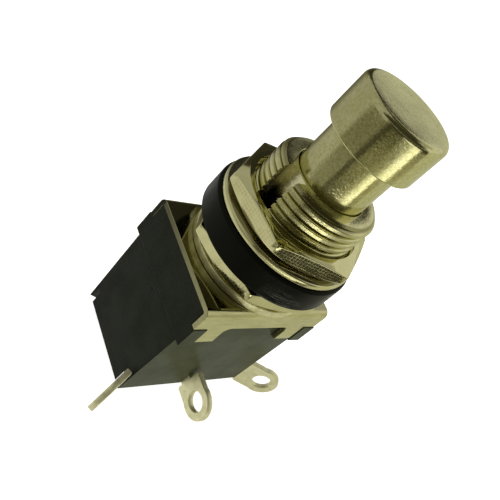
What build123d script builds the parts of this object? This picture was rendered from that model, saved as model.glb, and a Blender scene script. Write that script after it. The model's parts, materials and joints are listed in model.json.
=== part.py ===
"""Panel-mounted foot switch: alternate-action push switch with three solder lugs.

The plunger runs along Z. The origin is on its axis, on the top face of the bracket plate.
X follows the long side of the housing and -Y is the side of the middle lug. Sizes are in mm.
"""
import math
import os

from build123d import *

os.makedirs("parts", exist_ok=True)

# Bracket of folded sheet
sheet = 0.6
bend_radius = 0.8
flange_height = 2.7
tab_width = 2.4
tab_reach = 5.4
tab_fillet = 0.8
clinch_depth = 0.5
bracket_inset = 0.04

# Threaded bushing
thread_diameter = 12.0
thread_top = 12.8
thread_chamfer = 0.5
relief_diameter = 9.5
stake_width = 0.3
stake_height = 0.5
land_length = 3.3
keyway_width = 2.2
keyway_start = 1.0

# Nuts and washers stacked on the thread
nut_flats = 14.5
nut_height = 2.15
nut_face_diameter = 13.8
nut_under_angle = 30.0
nut_top_angle = 14.0
lower_nut_gap = 0.92
lower_nut_angle = 170.0
top_nut_angle = 158.5
spacer_diameter = 16.8
spacer_height = 3.15
spacer_edge = 0.2
washer_diameter = 16.2
washer_height = 0.78
washer_edge = 0.15

# Plunger and its return spring
neck_diameter = 7.9
neck_shoulder = 9.8
cap_diameter = 10.06
cap_bottom = 18.05
cap_height = 4.85
cap_top_round = 0.65
cap_bottom_edge = 0.15
stem_diameter = 4.8
stem_tip_length = 0.55
stroke = 4.0
wire_diameter = 0.7
wire_sides = 6
spring_turns = 5
seat_thickness = 0.5
clip_thickness = 0.45
clip_diameter = 7.0
clip_groove_depth = 0.5
clip_mouth = 3.0

# Moulded housing
housing_depth = 17.15
body_length = 17.06
body_width = 12.6
end_taper = 0.35
block_step = 0.18
ear_step = 0.1
ear_thickness = 1.75
block_depth = 5.57
wall = 1.25
roof = 1.2
ledge = 0.5
cover_thickness = 1.55
slot_rise = 2.0

# Solder lugs, flat strips standing on edge
strip = 0.7
side_lug_angle = 32.3
left_lug_reach = 2.95
right_lug_reach = 3.4
middle_lug_reach = 3.05
middle_lug_shift = 0.3
lug_ring_radius = 2.2
lug_hole_diameter = 2.4
lug_rise = 1.4
lug_neck_height = 1.85
lug_width = 4.2
lug_shoulder_round = 1.2
lug_heel_round = 0.3
lug_root = 0.3
tongue_width = 2.6

# Ratchet rotor and its contacts
ratchet_teeth = 8
tooth_height = 1.0
tooth_width = 1.6
tooth_inner = 2.5
tooth_inset = 0.2
crown_thickness = 1.0
crown_key_width = 3.2
rotor_gap = 0.4
rotor_cap = 0.6
pivot_diameter = 2.4
pivot_collar_diameter = 3.8
contact_diameter = 1.4
contact_height = 0.45
contact_edge = 0.15
finger_width = 1.5
finger_inset = 0.2
finger_thickness = 0.3
dimple_diameter = 1.0
dimple_inset = 0.5
dimple_height = 0.3

# Clearances
running_clearance = 0.08
loose_clearance = 0.05
thread_clearance = 0.05
hole_clearance = 0.2
ratchet_clearance = 0.3
contact_gap = 0.1

# Levels and radii that follow from the sizes above
plate_under = -sheet
end_width = body_width - 2 * end_taper
block_length = body_length + 2 * block_step
inner_half_width = body_width / 2 + loose_clearance
bracket_width = 2 * (inner_half_width + sheet)
bracket_length = block_length - 2 * bracket_inset
ear_width = bracket_width + 2 * ear_step
tab_centre = block_length / 2 - ear_thickness - loose_clearance - tab_width / 2
thread_radius = thread_diameter / 2
relief_radius = relief_diameter / 2
shank_radius = (thread_radius + relief_radius) / 2
stake_radius = shank_radius + stake_width
neck_radius = neck_diameter / 2
spring_radius = (neck_diameter - wire_diameter) / 2
stem_radius = stem_diameter / 2
land_radius = neck_radius + running_clearance
keyway_floor = (land_radius + relief_radius) / 2
land_bottom = thread_top - land_length
stake_bottom = plate_under - stake_height
lower_nut_top = lower_nut_gap + nut_height
spacer_top = lower_nut_top + spacer_height
washer_top = spacer_top + washer_height
seat_top = stake_bottom - loose_clearance
seat_bottom = seat_top - seat_thickness
roof_under = seat_bottom - roof
clip_top = roof_under - loose_clearance
clip_bottom = clip_top - clip_thickness
crown_top = clip_bottom - ratchet_clearance / 2
crown_tip = crown_top - crown_thickness - tooth_height
rotor_tip = crown_tip - stroke - ratchet_clearance
housing_bottom = -housing_depth
cover_top = housing_bottom + cover_thickness
cavity_half_length = body_length / 2 - wall
cavity_half_width = end_width / 2 - wall
rotor_radius = cavity_half_width - rotor_gap
tooth_outer = rotor_radius - tooth_inset
finger_reach = rotor_radius - finger_inset
contact_radius = finger_reach - dimple_inset
tongue_top = cover_top + strip
dimple_tip = tongue_top + contact_height + contact_gap
finger_bottom = dimple_tip + dimple_height
rotor_bottom = finger_bottom + finger_thickness
lug_level = housing_bottom + lug_rise
neck_level = housing_bottom + slot_rise - loose_clearance - lug_neck_height / 2
side_turn = math.radians(side_lug_angle)
side_exit = body_length / 2 / math.cos(side_turn)
side_tongue_end = min(
    (cavity_half_width - loose_clearance - tongue_width / 2 * math.cos(side_turn)) / math.sin(side_turn),
    (cavity_half_length - loose_clearance - tongue_width / 2 * math.sin(side_turn)) / math.cos(side_turn),
)
middle_tongue_end = cavity_half_width - loose_clearance
contact_turn = 3 * 180 / ratchet_teeth


def lug_plane(angle, shift=0.0):
    """Upright plane through a lug: local x runs outwards from the axis, local y runs up."""
    turn = math.radians(angle)
    outward = (math.cos(turn), math.sin(turn), 0)
    across = (math.sin(turn), -math.cos(turn), 0)
    return Plane(origin=(shift, 0, 0), x_dir=outward, z_dir=across)


def floor_plane(angle, height, shift=0.0):
    """Level plane whose local x runs outwards from the axis at the given angle."""
    turn = math.radians(angle)
    return Plane(origin=(shift, 0, height), x_dir=(math.cos(turn), math.sin(turn), 0), z_dir=(0, 0, 1))


def save(part, name):
    part.label = name
    export_step(part, f"parts/{name}.step")


# Bracket: a channel with two clinched tabs on each flange
with BuildPart() as bracket:
    with BuildSketch(Plane.YZ) as channel:
        with BuildLine() as fold:
            FilletPolyline(
                (-bracket_width / 2, -flange_height),
                (-bracket_width / 2, 0),
                (bracket_width / 2, 0),
                (bracket_width / 2, -flange_height),
                radius=bend_radius,
            )
            offset(amount=sheet, side=Side.RIGHT)
        make_face()
    extrude(amount=bracket_length / 2, both=True)
    with BuildSketch(Plane.XZ.offset(inner_half_width)) as tabs:
        with GridLocations(2 * tab_centre, 0, 2, 1):
            with Locations((0, -(flange_height + tab_reach) / 2)):
                Rectangle(tab_width, tab_reach - flange_height)
    extrude(amount=sheet)
    with BuildSketch(Plane.XZ.offset(inner_half_width - clinch_depth)) as clinches:
        with GridLocations(2 * tab_centre, 0, 2, 1):
            with Locations((0, -tab_reach + sheet / 2)):
                Rectangle(tab_width, sheet)
    extrude(amount=sheet + clinch_depth)
    tab_corners = bracket.edges().filter_by(Axis.Y).filter_by(lambda edge: abs(edge.center().X) < tab_centre)
    fillet(tab_corners.group_by(Axis.Z)[-1], tab_fillet)
    tab_tips = bracket.edges().filter_by(Axis.X).group_by(Axis.Z)[0]
    fillet(tab_tips.group_by(Axis.Y)[0], sheet / 2)
    mirror(about=Plane.XZ)
    with Locations((0, 0, 0)):
        Hole(shank_radius)
save(bracket.part, "bracket")

# Bushing: turned, with two keyways, staked under the plate
with BuildPart() as bushing:
    with BuildSketch(Plane.XZ) as section:
        with BuildLine():
            Polyline(
                (land_radius, thread_top - running_clearance),
                (land_radius + running_clearance, thread_top),
                (thread_radius - thread_chamfer, thread_top),
                (thread_radius, thread_top - thread_chamfer),
                (thread_radius, 0),
                (shank_radius, 0),
                (shank_radius, plate_under),
                (stake_radius, plate_under),
                (stake_radius - stake_width / 2, stake_bottom),
                (relief_radius, stake_bottom),
                (relief_radius, land_bottom),
                (land_radius, land_bottom),
                close=True,
            )
        make_face()
    revolve(axis=Axis.Z)
    with BuildSketch(Plane.XY.offset(keyway_start)) as keyways:
        with PolarLocations(keyway_floor + thread_radius / 2, 2):
            Rectangle(thread_radius, keyway_width)
    extrude(amount=thread_top, mode=Mode.SUBTRACT)
save(bushing.part, "bushing")

# Two thin hexagon nuts, chamfered on both faces
corner_radius = nut_flats / math.sqrt(3)
face_radius = nut_face_diameter / 2
under_drop = (corner_radius - face_radius) * math.tan(math.radians(nut_under_angle))
top_drop = (corner_radius - face_radius) * math.tan(math.radians(nut_top_angle))
for name, level, turn in (
    ("lower_nut", lower_nut_gap, lower_nut_angle),
    ("top_nut", washer_top, top_nut_angle),
):
    with BuildPart() as nut:
        with BuildSketch(Plane.XY.offset(level)) as hexagon:
            RegularPolygon(corner_radius, 6, rotation=turn)
            Circle(thread_radius + thread_clearance, mode=Mode.SUBTRACT)
        extrude(amount=nut_height)
        with BuildSketch(Plane.XZ) as envelope:
            with BuildLine():
                Polyline(
                    (0, level),
                    (face_radius, level),
                    (corner_radius, level + under_drop),
                    (corner_radius, level + nut_height - top_drop),
                    (face_radius, level + nut_height),
                    (0, level + nut_height),
                    close=True,
                )
            make_face()
        revolve(axis=Axis.Z, mode=Mode.INTERSECT)
    save(nut.part, name)

# Thick spacer ring and flat washer between the nuts
for name, level, height, diameter, edge in (
    ("spacer_ring", lower_nut_top, spacer_height, spacer_diameter, spacer_edge),
    ("flat_washer", spacer_top, washer_height, washer_diameter, washer_edge),
):
    with BuildPart() as ring:
        with BuildSketch(Plane.XY.offset(level)) as disc:
            Circle(diameter / 2)
        extrude(amount=height)
        chamfer(ring.edges(), edge)
        with BuildSketch(Plane.XY.offset(level)) as bore:
            Circle(thread_radius + hole_clearance)
        extrude(amount=height, mode=Mode.SUBTRACT)
    save(ring.part, name)

# Plunger: cap, neck and stem turned in one piece
cap_top = cap_bottom + cap_height
groove_radius = stem_radius - clip_groove_depth
stem_end = crown_top - stem_tip_length
with BuildPart() as plunger:
    with BuildSketch(Plane.XZ) as half:
        with BuildLine():
            Polyline(
                (0, stem_end),
                (stem_radius, stem_end),
                (stem_radius, clip_bottom),
                (groove_radius, clip_bottom),
                (groove_radius, clip_top),
                (stem_radius, clip_top),
                (stem_radius, neck_shoulder),
                (neck_radius, neck_shoulder),
                (neck_radius, cap_bottom),
                (cap_diameter / 2, cap_bottom),
                (cap_diameter / 2, cap_top),
                (0, cap_top),
                close=True,
            )
        make_face()
    revolve(axis=Axis.Z)
    rims = plunger.edges().filter_by(GeomType.CIRCLE).filter_by(lambda rim: rim.radius > neck_radius)
    fillet(rims.group_by(Axis.Z)[-1], cap_top_round)
    chamfer(rims.group_by(Axis.Z)[0], cap_bottom_edge)
save(plunger.part, "plunger")

# Clip that holds the plunger up under the roof of the housing
with BuildPart() as retaining_clip:
    with BuildSketch(Plane.XY.offset(clip_bottom)) as clip_shape:
        Circle(clip_diameter / 2)
        Circle(groove_radius + loose_clearance, mode=Mode.SUBTRACT)
        with Locations((clip_diameter / 2, 0)):
            Rectangle(clip_diameter, clip_mouth, mode=Mode.SUBTRACT)
    extrude(amount=clip_thickness)
save(retaining_clip.part, "retaining_clip")

# Spring seat: a washer under the staked end of the bushing
with BuildPart() as spring_seat:
    with BuildSketch(Plane.XY.offset(seat_bottom)) as seat_shape:
        Circle(stake_radius)
        Circle(stem_radius + hole_clearance, mode=Mode.SUBTRACT)
    extrude(amount=seat_thickness)
save(spring_seat.part, "spring_seat")

# Return spring between the seat and the shoulder of the neck
spring_bottom = seat_top + wire_diameter / 2 + loose_clearance
spring_top = neck_shoulder - wire_diameter / 2 - loose_clearance
spring_height = spring_top - spring_bottom
with BuildPart() as return_spring:
    with BuildLine(Plane.XY.offset(spring_bottom)) as coil:
        Helix(spring_height / spring_turns, spring_height, spring_radius)
    with BuildSketch(Plane(coil.line @ 0, z_dir=coil.line % 0)) as wire:
        RegularPolygon(wire_diameter / 2, wire_sides)
    sweep(is_frenet=True)
save(return_spring.part, "return_spring")

# Housing: end blocks with ears above a slightly tapered body, open below
with BuildPart() as housing:
    with BuildSketch(Plane.XY.offset(-block_depth)) as block:
        Rectangle(block_length, body_width)
    extrude(amount=block_depth - sheet)
    fillet(housing.edges().filter_by(Axis.X).group_by(Axis.Z)[-1], bend_radius - sheet + loose_clearance)
    with BuildSketch(Plane.XY.offset(-block_depth)) as ears:
        Rectangle(block_length, ear_width)
        Rectangle(block_length - 2 * ear_thickness, ear_width, mode=Mode.SUBTRACT)
    extrude(amount=block_depth - flange_height - loose_clearance)
    with BuildSketch(Plane.XY.offset(-block_depth)) as body_top:
        Rectangle(body_length, body_width)
    with BuildSketch(Plane.XY.offset(housing_bottom)) as body_end:
        Rectangle(body_length, end_width)
    loft()
    with BuildSketch(Plane.XY.offset(housing_bottom)) as cavity:
        Rectangle(2 * cavity_half_length, 2 * cavity_half_width)
    extrude(amount=roof_under - housing_bottom, mode=Mode.SUBTRACT)
    with BuildSketch(Plane.XY.offset(housing_bottom)) as cover_seat:
        Rectangle(2 * (cavity_half_length + ledge), 2 * (cavity_half_width + ledge))
    extrude(amount=cover_thickness, mode=Mode.SUBTRACT)
    with BuildSketch(Plane.XY.offset(seat_bottom)) as stake_pocket:
        Circle(stake_radius + loose_clearance)
    extrude(amount=plate_under - seat_bottom, mode=Mode.SUBTRACT)
    with Locations((0, 0, 0)):
        Hole(stem_radius + running_clearance)
    with BuildSketch(Plane.XY.offset(-tab_reach - loose_clearance)) as clinch_pockets:
        with GridLocations(2 * tab_centre, body_width, 2, 2):
            Rectangle(
                tab_width + 2 * loose_clearance,
                body_width - 2 * (inner_half_width - clinch_depth - loose_clearance),
            )
    extrude(amount=sheet + 2 * loose_clearance, mode=Mode.SUBTRACT)
    for angle in (side_lug_angle, 180 - side_lug_angle, 180 + side_lug_angle, -side_lug_angle):
        with BuildSketch(floor_plane(angle, housing_bottom)) as side_slot:
            with Locations((body_length / 2, 0)):
                Rectangle(body_length / 2, strip + 2 * loose_clearance)
        extrude(amount=slot_rise, mode=Mode.SUBTRACT)
    with BuildSketch(floor_plane(-90, housing_bottom, middle_lug_shift)) as middle_slot:
        with Locations((body_width / 2, 0)):
            Rectangle(body_width / 2, strip + 2 * loose_clearance)
    extrude(amount=slot_rise, mode=Mode.SUBTRACT)
save(housing.part, "housing")

# Solder lugs: teardrop eye outside, tongue on the cover inside
for name, angle, shift, wall_radius, reach, tongue_end, pad_centre, pad_angle, pad_radius in (
    ("terminal_left", 180 + side_lug_angle, 0, side_exit, left_lug_reach,
     side_tongue_end, contact_radius, 270 - contact_turn, tongue_width / 2),
    ("terminal_right", -side_lug_angle, 0, side_exit, right_lug_reach,
     side_tongue_end, contact_radius, 270 + contact_turn, tongue_width / 2),
    ("terminal_middle", -90, middle_lug_shift, end_width / 2, middle_lug_reach,
     middle_tongue_end, 0, -90, pivot_collar_diameter / 2),
):
    eye_centre = wall_radius + reach
    eye_root = wall_radius + lug_root
    with BuildPart() as terminal:
        with BuildSketch(lug_plane(angle, shift)) as eye:
            with Locations(((eye_root + eye_centre) / 2, lug_level)):
                Rectangle(eye_centre - eye_root, lug_width)
            root_corners = eye.vertices().group_by(Axis.X)[0].sort_by(Axis.Y)
            fillet(root_corners[0], lug_heel_round)
            fillet(root_corners[-1], lug_shoulder_round)
            with Locations((eye_centre, lug_level)):
                Circle(lug_ring_radius)
            with Locations(((eye_root + tongue_end) / 2, neck_level)):
                Rectangle(eye_root - tongue_end + 2 * strip, lug_neck_height)
            with Locations((eye_centre, lug_level)):
                Circle(lug_hole_diameter / 2, mode=Mode.SUBTRACT)
        extrude(amount=strip / 2, both=True)
        with BuildSketch(floor_plane(angle, cover_top, shift)) as tongue:
            with Locations(((tongue_end + pad_centre) / 2, 0)):
                Rectangle(tongue_end - pad_centre, tongue_width)
        extrude(amount=strip)
        with BuildSketch(floor_plane(pad_angle, cover_top)) as pad:
            with Locations((pad_centre, 0)):
                Circle(pad_radius)
        extrude(amount=strip)
        with BuildSketch(Plane.XY.offset(cover_top)) as pivot_hole:
            Circle(pivot_diameter / 2 + loose_clearance)
        extrude(amount=strip, mode=Mode.SUBTRACT)
    save(terminal.part, name)

# Contact studs on the tongues of the two side lugs
for name, angle in (("contact_left", 270 - contact_turn), ("contact_right", 270 + contact_turn)):
    with BuildPart() as contact:
        with BuildSketch(floor_plane(angle, tongue_top)) as stud:
            with Locations((contact_radius, 0)):
                Circle(contact_diameter / 2)
        extrude(amount=contact_height)
        chamfer(contact.edges().group_by(Axis.Z)[-1], contact_edge)
    save(contact.part, name)

# Cover that closes the housing from below
with BuildPart() as base_cover:
    with BuildSketch(Plane.XY.offset(housing_bottom)) as plug:
        Rectangle(
            2 * (cavity_half_length + ledge - loose_clearance),
            2 * (cavity_half_width + ledge - loose_clearance),
        )
        Circle(pivot_diameter / 2, mode=Mode.SUBTRACT)
    extrude(amount=cover_thickness)
    for angle, shift, tongue_end in (
        (180 + side_lug_angle, 0, side_tongue_end),
        (-side_lug_angle, 0, side_tongue_end),
        (-90, middle_lug_shift, middle_tongue_end),
    ):
        with BuildSketch(floor_plane(angle, housing_bottom, shift)) as relief:
            with Locations((tongue_end - strip - loose_clearance + body_length / 2, 0)):
                Rectangle(body_length, strip + 2 * loose_clearance)
        extrude(amount=cover_thickness, mode=Mode.SUBTRACT)
save(base_cover.part, "base_cover")

# Pivot pin with a collar that carries the rotor
pivot_top = rotor_tip - tooth_height - rotor_cap - loose_clearance
with BuildPart() as pivot_pin:
    with BuildSketch(Plane.XY.offset(housing_bottom)) as shaft:
        Circle(pivot_diameter / 2)
    extrude(amount=pivot_top - housing_bottom)
    with BuildSketch(Plane.XY.offset(tongue_top)) as collar:
        Circle(pivot_collar_diameter / 2)
    extrude(amount=finger_bottom - loose_clearance - tongue_top)
save(pivot_pin.part, "pivot_pin")

# Rotor: a disc with a ring of sawteeth on top and a blind bore below
with BuildPart() as rotor:
    with BuildSketch(Plane.XY.offset(rotor_bottom)) as disc:
        Circle(rotor_radius)
    extrude(amount=rotor_tip - tooth_height - rotor_bottom)
    with BuildSketch(Plane.XY.offset(rotor_bottom)) as bore:
        Circle(pivot_diameter / 2 + running_clearance)
    extrude(amount=rotor_tip - tooth_height - rotor_cap - rotor_bottom, mode=Mode.SUBTRACT)
    for step in range(ratchet_teeth):
        with BuildSketch(lug_plane(90 + step * 360 / ratchet_teeth).offset(tooth_inner)) as tooth:
            with BuildLine():
                Polyline(
                    (-tooth_width / 2, rotor_tip - tooth_height),
                    (tooth_width / 2, rotor_tip - tooth_height),
                    (tooth_width / 2, rotor_tip),
                    close=True,
                )
            make_face()
        extrude(amount=tooth_outer - tooth_inner)
save(rotor.part, "rotor")

# Contact spider under the rotor: a hub with sprung fingers and dimples
with BuildPart() as contact_spider:
    with BuildSketch(Plane.XY.offset(finger_bottom)) as spider:
        Circle(pivot_collar_diameter / 2)
        with PolarLocations(finger_reach / 2, ratchet_teeth // 2, start_angle=270 - contact_turn):
            Rectangle(finger_reach, finger_width)
        Circle(pivot_diameter / 2 + running_clearance, mode=Mode.SUBTRACT)
    extrude(amount=finger_thickness)
    with BuildSketch(Plane.XY.offset(dimple_tip)) as dimples:
        with PolarLocations(contact_radius, ratchet_teeth // 2, start_angle=270 - contact_turn):
            Circle(dimple_diameter / 2)
    extrude(amount=dimple_height)
save(contact_spider.part, "contact_spider")

# Drive crown on the stem: sawteeth below, keyed between the long walls
with BuildPart() as drive_crown:
    with BuildSketch(Plane.XY.offset(crown_top - crown_thickness)) as crown_shape:
        Circle(rotor_radius)
        Rectangle(crown_key_width, 2 * (cavity_half_width - contact_gap))
    extrude(amount=crown_thickness)
    with BuildSketch(Plane.XY.offset(stem_end)) as socket:
        Circle(stem_radius + loose_clearance)
    extrude(amount=crown_top - stem_end, mode=Mode.SUBTRACT)
    for step in range(ratchet_teeth):
        with BuildSketch(lug_plane(90 + step * 360 / ratchet_teeth).offset(tooth_inner)) as tooth:
            with BuildLine():
                Polyline(
                    (-tooth_width / 2, crown_tip + tooth_height),
                    (tooth_width / 2, crown_tip + tooth_height),
                    (-tooth_width / 2, crown_tip),
                    close=True,
                )
            make_face()
        extrude(amount=tooth_outer - tooth_inner)
save(drive_crown.part, "drive_crown")
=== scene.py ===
"""Looks of the foot switch: finishes, rounded edges and the thread, with light and camera.

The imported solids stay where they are. Lengths are in millimetres until a mesh, lamp or camera is made.
"""

import cmath
import json
import math
from itertools import product

import bmesh
import bpy
from mathutils import Matrix, Vector

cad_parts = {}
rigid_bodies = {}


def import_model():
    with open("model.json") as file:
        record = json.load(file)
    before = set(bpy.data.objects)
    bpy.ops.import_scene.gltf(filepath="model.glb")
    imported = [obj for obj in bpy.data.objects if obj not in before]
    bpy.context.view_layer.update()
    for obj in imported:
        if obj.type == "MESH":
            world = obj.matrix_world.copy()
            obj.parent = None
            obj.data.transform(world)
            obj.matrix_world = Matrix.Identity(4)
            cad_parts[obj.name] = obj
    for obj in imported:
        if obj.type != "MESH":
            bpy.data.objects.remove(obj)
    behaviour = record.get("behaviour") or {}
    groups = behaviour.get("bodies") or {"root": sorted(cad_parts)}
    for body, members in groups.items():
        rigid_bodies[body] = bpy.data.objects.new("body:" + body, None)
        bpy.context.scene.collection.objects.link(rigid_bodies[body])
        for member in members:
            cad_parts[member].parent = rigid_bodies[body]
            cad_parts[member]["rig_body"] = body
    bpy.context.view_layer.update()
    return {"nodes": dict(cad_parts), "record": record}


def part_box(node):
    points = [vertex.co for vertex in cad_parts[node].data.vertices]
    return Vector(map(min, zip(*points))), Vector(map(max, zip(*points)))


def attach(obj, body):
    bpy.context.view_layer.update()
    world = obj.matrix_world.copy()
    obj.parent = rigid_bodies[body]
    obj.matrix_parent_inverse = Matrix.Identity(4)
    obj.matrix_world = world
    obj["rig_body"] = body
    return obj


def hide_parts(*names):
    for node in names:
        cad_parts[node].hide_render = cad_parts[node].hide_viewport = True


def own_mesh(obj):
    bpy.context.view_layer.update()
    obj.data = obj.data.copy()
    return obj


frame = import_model()

MM = 0.001
WELD = 1e-7
SHARP_ANGLE = math.radians(38)
FLAT_ANGLE = math.radians(0.5)
ARC_STEPS = 4
TURNED_COLUMNS = 160
SLOTS = {part["node"]: part["material_slot"] for part in frame["record"]["subparts"]}

# Plunger
CAP_RADIUS = 5.03
CAP_BOTTOM = 18.05
CAP_ROUND = 0.65
CAP_ROUND_STEPS = 10
CAP_EDGE = 0.2
CAP_CROWN = 0.03
CROWN_SHARES = (0.8, 0.6, 0.4, 0.2, 0.0)
NECK_RADIUS = 3.95
NECK_SHOULDER = 9.8
STEM_RADIUS = 2.4
GROOVE_RADIUS = 1.9
GROOVE_TOP = -2.9
GROOVE_BOTTOM = -3.35

# Threaded bushing; the thread's root and flank are shares of half a pitch
THREAD_RADIUS = 6.0
THREAD_PITCH = 0.8
THREAD_DEPTH = 0.4
THREAD_PHASE = 0.45
THREAD_ROOT = 0.06
THREAD_FLANK = 0.5
THREAD_COLUMNS = 120
THREAD_ROWS = 14
SPARE_TURNS = 2
THREAD_CHAMFER = 0.5
CHAMFER_FOOT_ROUND = 0.25
CHAMFER_HEAD_ROUND = 0.15
SHEET = 0.6
SHANK_RADIUS = 5.375
STAKE_RADIUS = 5.675
STAKE_TAPER = 0.15
STAKE_ROUND = 0.12
RELIEF_RADIUS = 4.75
LAND_RADIUS = 4.03
LAND_LENGTH = 3.3
LAND_ROUND = 0.12
KEYWAY_FLOOR = 4.39
KEYWAY_WIDTH = 2.2
KEYWAY_START = 1.0
CUT_SPARE = 1.0

# Housing, bracket, cover and lugs
EDGE_ROUND = 0.08
COVER_ROUND = 0.1
LUG_ROUND = 0.1
EDGE_SEGMENTS = 2
SLOT_LEVEL = -14.0
SLOT_REACH = 3.0
BLOCK_BOTTOM = -5.57
GATE_LEVEL = -6.5
GATE_RADIUS = 0.2

# Nuts and washers; a nut's columns are degrees from each corner, close together at its rounding
NUT_FLATS = 14.5
NUT_FACE_RADIUS = 6.9
NUT_UNDER_ANGLE = 30.0
NUT_TOP_ANGLE = 14.0
NUT_CORNER_ROUND = 0.3
NUT_EDGE = 0.1
NUT_UNDER_ROUND = 0.25
NUT_BORE = 6.05
NUT_BORE_CHAMFER = 0.3
NUT_TURNS = {"lower_nut": 170.0, "top_nut": 158.5}
NUT_COLUMNS = (-1.0, -0.65, -0.3, 0.0, 0.3, 0.65, 1.0, 4, 9, 15, 21, 26, 30, 34, 39, 45, 51, 56)
RING_BORE = 6.2
RING_EDGES = {"flat_washer": 0.2, "spacer_ring": 0.3}
SEAT_RADIUS = 7.3
SEAT_EDGE = 0.12
SEAT_CLEARANCE = 0.02

# Return spring
WIRE_RADIUS = 0.35
WIRE_SIDES = 12
SPRING_RADIUS = 3.6
SPRING_TURNS = 5.0
SPRING_COLUMNS = 40

# Metal colours
NICKEL = (0.70, 0.672, 0.36)
NICKEL_SHADE = (0.60, 0.573, 0.29)
PLUNGER_SPECK = (0.44, 0.44, 0.14)
# Painted shade, drawn into the thread's grooves
GROOVE_PAINTED_SHADE = (0.22, 0.20, 0.075)
# Painted light, drawn on the keyways of the thread
KEYWAY_PAINTED_LIGHT = (0.92, 0.88, 0.55)
# Painted shade, drawn low down in the keyways
KEYWAY_PAINTED_SHADE = (0.07, 0.065, 0.035)
# Painted shade, drawn on the washer's top face
WASHER_TOP_PAINTED_SHADE = (0.36, 0.34, 0.25)
SHEET_SPECK = (0.47, 0.45, 0.22)
# Painted shade, drawn on the top of the sheet
SHEET_TOP_PAINTED_SHADE = (0.33, 0.315, 0.18)
# Cut ends: partly their own colour, partly painted shade that grows towards +Y
CUT_END_AND_SHADE = (0.11, 0.106, 0.06)
# Painted shade, nearly black, on the cut ends at the far side
FAR_END_PAINTED_SHADE = (0.016, 0.016, 0.009)
TIN = (0.93, 0.90, 0.57)
TIN_SHADE = (0.80, 0.77, 0.45)
SILVER = (0.86, 0.85, 0.82)
SILVER_SHADE = (0.70, 0.68, 0.62)
STEEL = (0.52, 0.51, 0.49)
STEEL_SHADE = (0.40, 0.39, 0.37)
BRONZE = (0.72, 0.45, 0.25)
BRONZE_SHADE = (0.58, 0.34, 0.18)
BRASS = (0.80, 0.62, 0.30)
BRASS_SHADE = (0.66, 0.48, 0.22)

# Plastic colours
SPACER_BLACK = (0.003, 0.0033, 0.0022)
SPACER_TINT = (0.9, 1.0, 0.6, 1.0)
SCUFF_GREY = (0.09, 0.093, 0.075)
MATT_BLACK = (0.004, 0.0055, 0.003)
MATT_SPECK = (0.0095, 0.012, 0.007)
# Painted light: the housing's long sides are drawn lighter than its ends
SIDE_BLACK_PAINTED_LIGHT = (0.034, 0.042, 0.018)
SIDE_SPECK_PAINTED_LIGHT = (0.046, 0.055, 0.025)
# Black of the gate mark, the rounded upright corners and the painted shade line at the step
MARK_AND_SHADE_BLACK = (0.0015, 0.002, 0.001)
HOUSING_TINT = (0.9, 1.0, 0.66, 1.0)
PHENOLIC = (0.11, 0.055, 0.025)
PHENOLIC_FIBRE = (0.20, 0.11, 0.05)
NYLON = (0.78, 0.76, 0.68)
NYLON_SHADE = (0.70, 0.67, 0.58)

# Places where a finish changes, and where painted shade and light go: radii, levels and directions
# Radii over which the painted groove shade fades out, and below which the shank gets none
GROOVE_SHADE_RADII = (5.64, 5.86)
GROOVE_SHADE_INNER_RADII = (5.3, 5.5)
KEYWAY_TONE = (4.9, 5.2)
# Levels over which the painted keyway shade fades out going up
KEYWAY_SHADE_LEVELS = (9.7, 10.6)
SCUFF_LEVELS = (4.2, 5.4)
RUBBED_SIDE = (-0.39, -0.92, 0.0)
# Y spans over which the painted shade on the cut ends grows, and turns nearly black
CUT_END_SHADE_REACH = (-7.0, 5.0)
FAR_END_SHADE_REACH = (6.0, 6.4)
# Height span of the painted shade line at the step
STEP_SHADE_REACH = (0.05, 0.14)
HATCH = 0.34

# Camera of the photograph, found from the edges of the pieces
CAMERA_PLACE = (-48.033, -30.025, 39.663)
CAMERA_RIGHT = (0.71804, -0.35526, 0.59850)
CAMERA_DOWN = (0.06432, -0.82237, -0.56531)
FOCAL_PIXELS = 656.4
PHOTO_PIXELS = 500
SENSOR = 36.0
CLIP_START = 1.0

# Studio
WARM_WHITE = (1.0, 0.99, 0.93)
GREEN_WHITE = (1.0, 1.0, 0.78)
DIM = (1.0, 0.95, 0.62)
ROOM_LIGHT = 0.5
FLOOR_GREY = (0.8, 0.8, 0.8)
FLOOR_GLOW = 0.85
FLOOR_REACH = 2000
FLOOR_GAP = 0.05
ALL_ROUND = (-65, 295)
HARD = 0.001
CARD_COLUMNS = 60
CARD_ROWS = 40


# Meshes

def ease(share):
    """A smooth step from 0 to 1."""
    share = min(max(share, 0), 1)
    return share * share * (3 - 2 * share)


def polar(radius, angle, height):
    """The point at a distance and an angle from the axis."""
    return radius * math.cos(angle), radius * math.sin(angle), height


def corner_arc(before, corner, after, radius, steps=ARC_STEPS):
    """Points of the arc that rounds a corner; a point is radius + 1j * height."""
    back = (before - corner) / abs(before - corner)
    on = (after - corner) / abs(after - corner)
    half = abs(cmath.phase(on / back)) / 2
    tangent = radius / math.tan(half)
    centre = corner + (back + on) / abs(back + on) * radius / math.sin(half)
    start = corner + back * tangent - centre
    end = corner + on * tangent - centre
    turn = cmath.phase(end / start)
    return [centre + start * cmath.exp(1j * turn * step / steps) for step in range(steps + 1)]


def soften(outline, radii):
    """The outline of (radius, height) points with the corners numbered in radii rounded."""
    corners = [complex(*point) for point in outline]
    made = []
    for index, corner in enumerate(corners):
        if index in radii:
            after = corners[(index + 1) % len(corners)]
            made += corner_arc(corners[index - 1], corner, after, radii[index])
        else:
            made.append(corner)
    return [(point.real, point.imag) for point in made]


def link(name, data):
    """A new object in the scene."""
    made = bpy.data.objects.new(name, data)
    bpy.context.scene.collection.objects.link(made)
    return made


def new_mesh(name, points, faces):
    """A mesh from points in millimetres."""
    mesh = bpy.data.meshes.new(name)
    mesh.from_pydata([Vector(point) * MM for point in points], [], faces)
    return mesh


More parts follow.
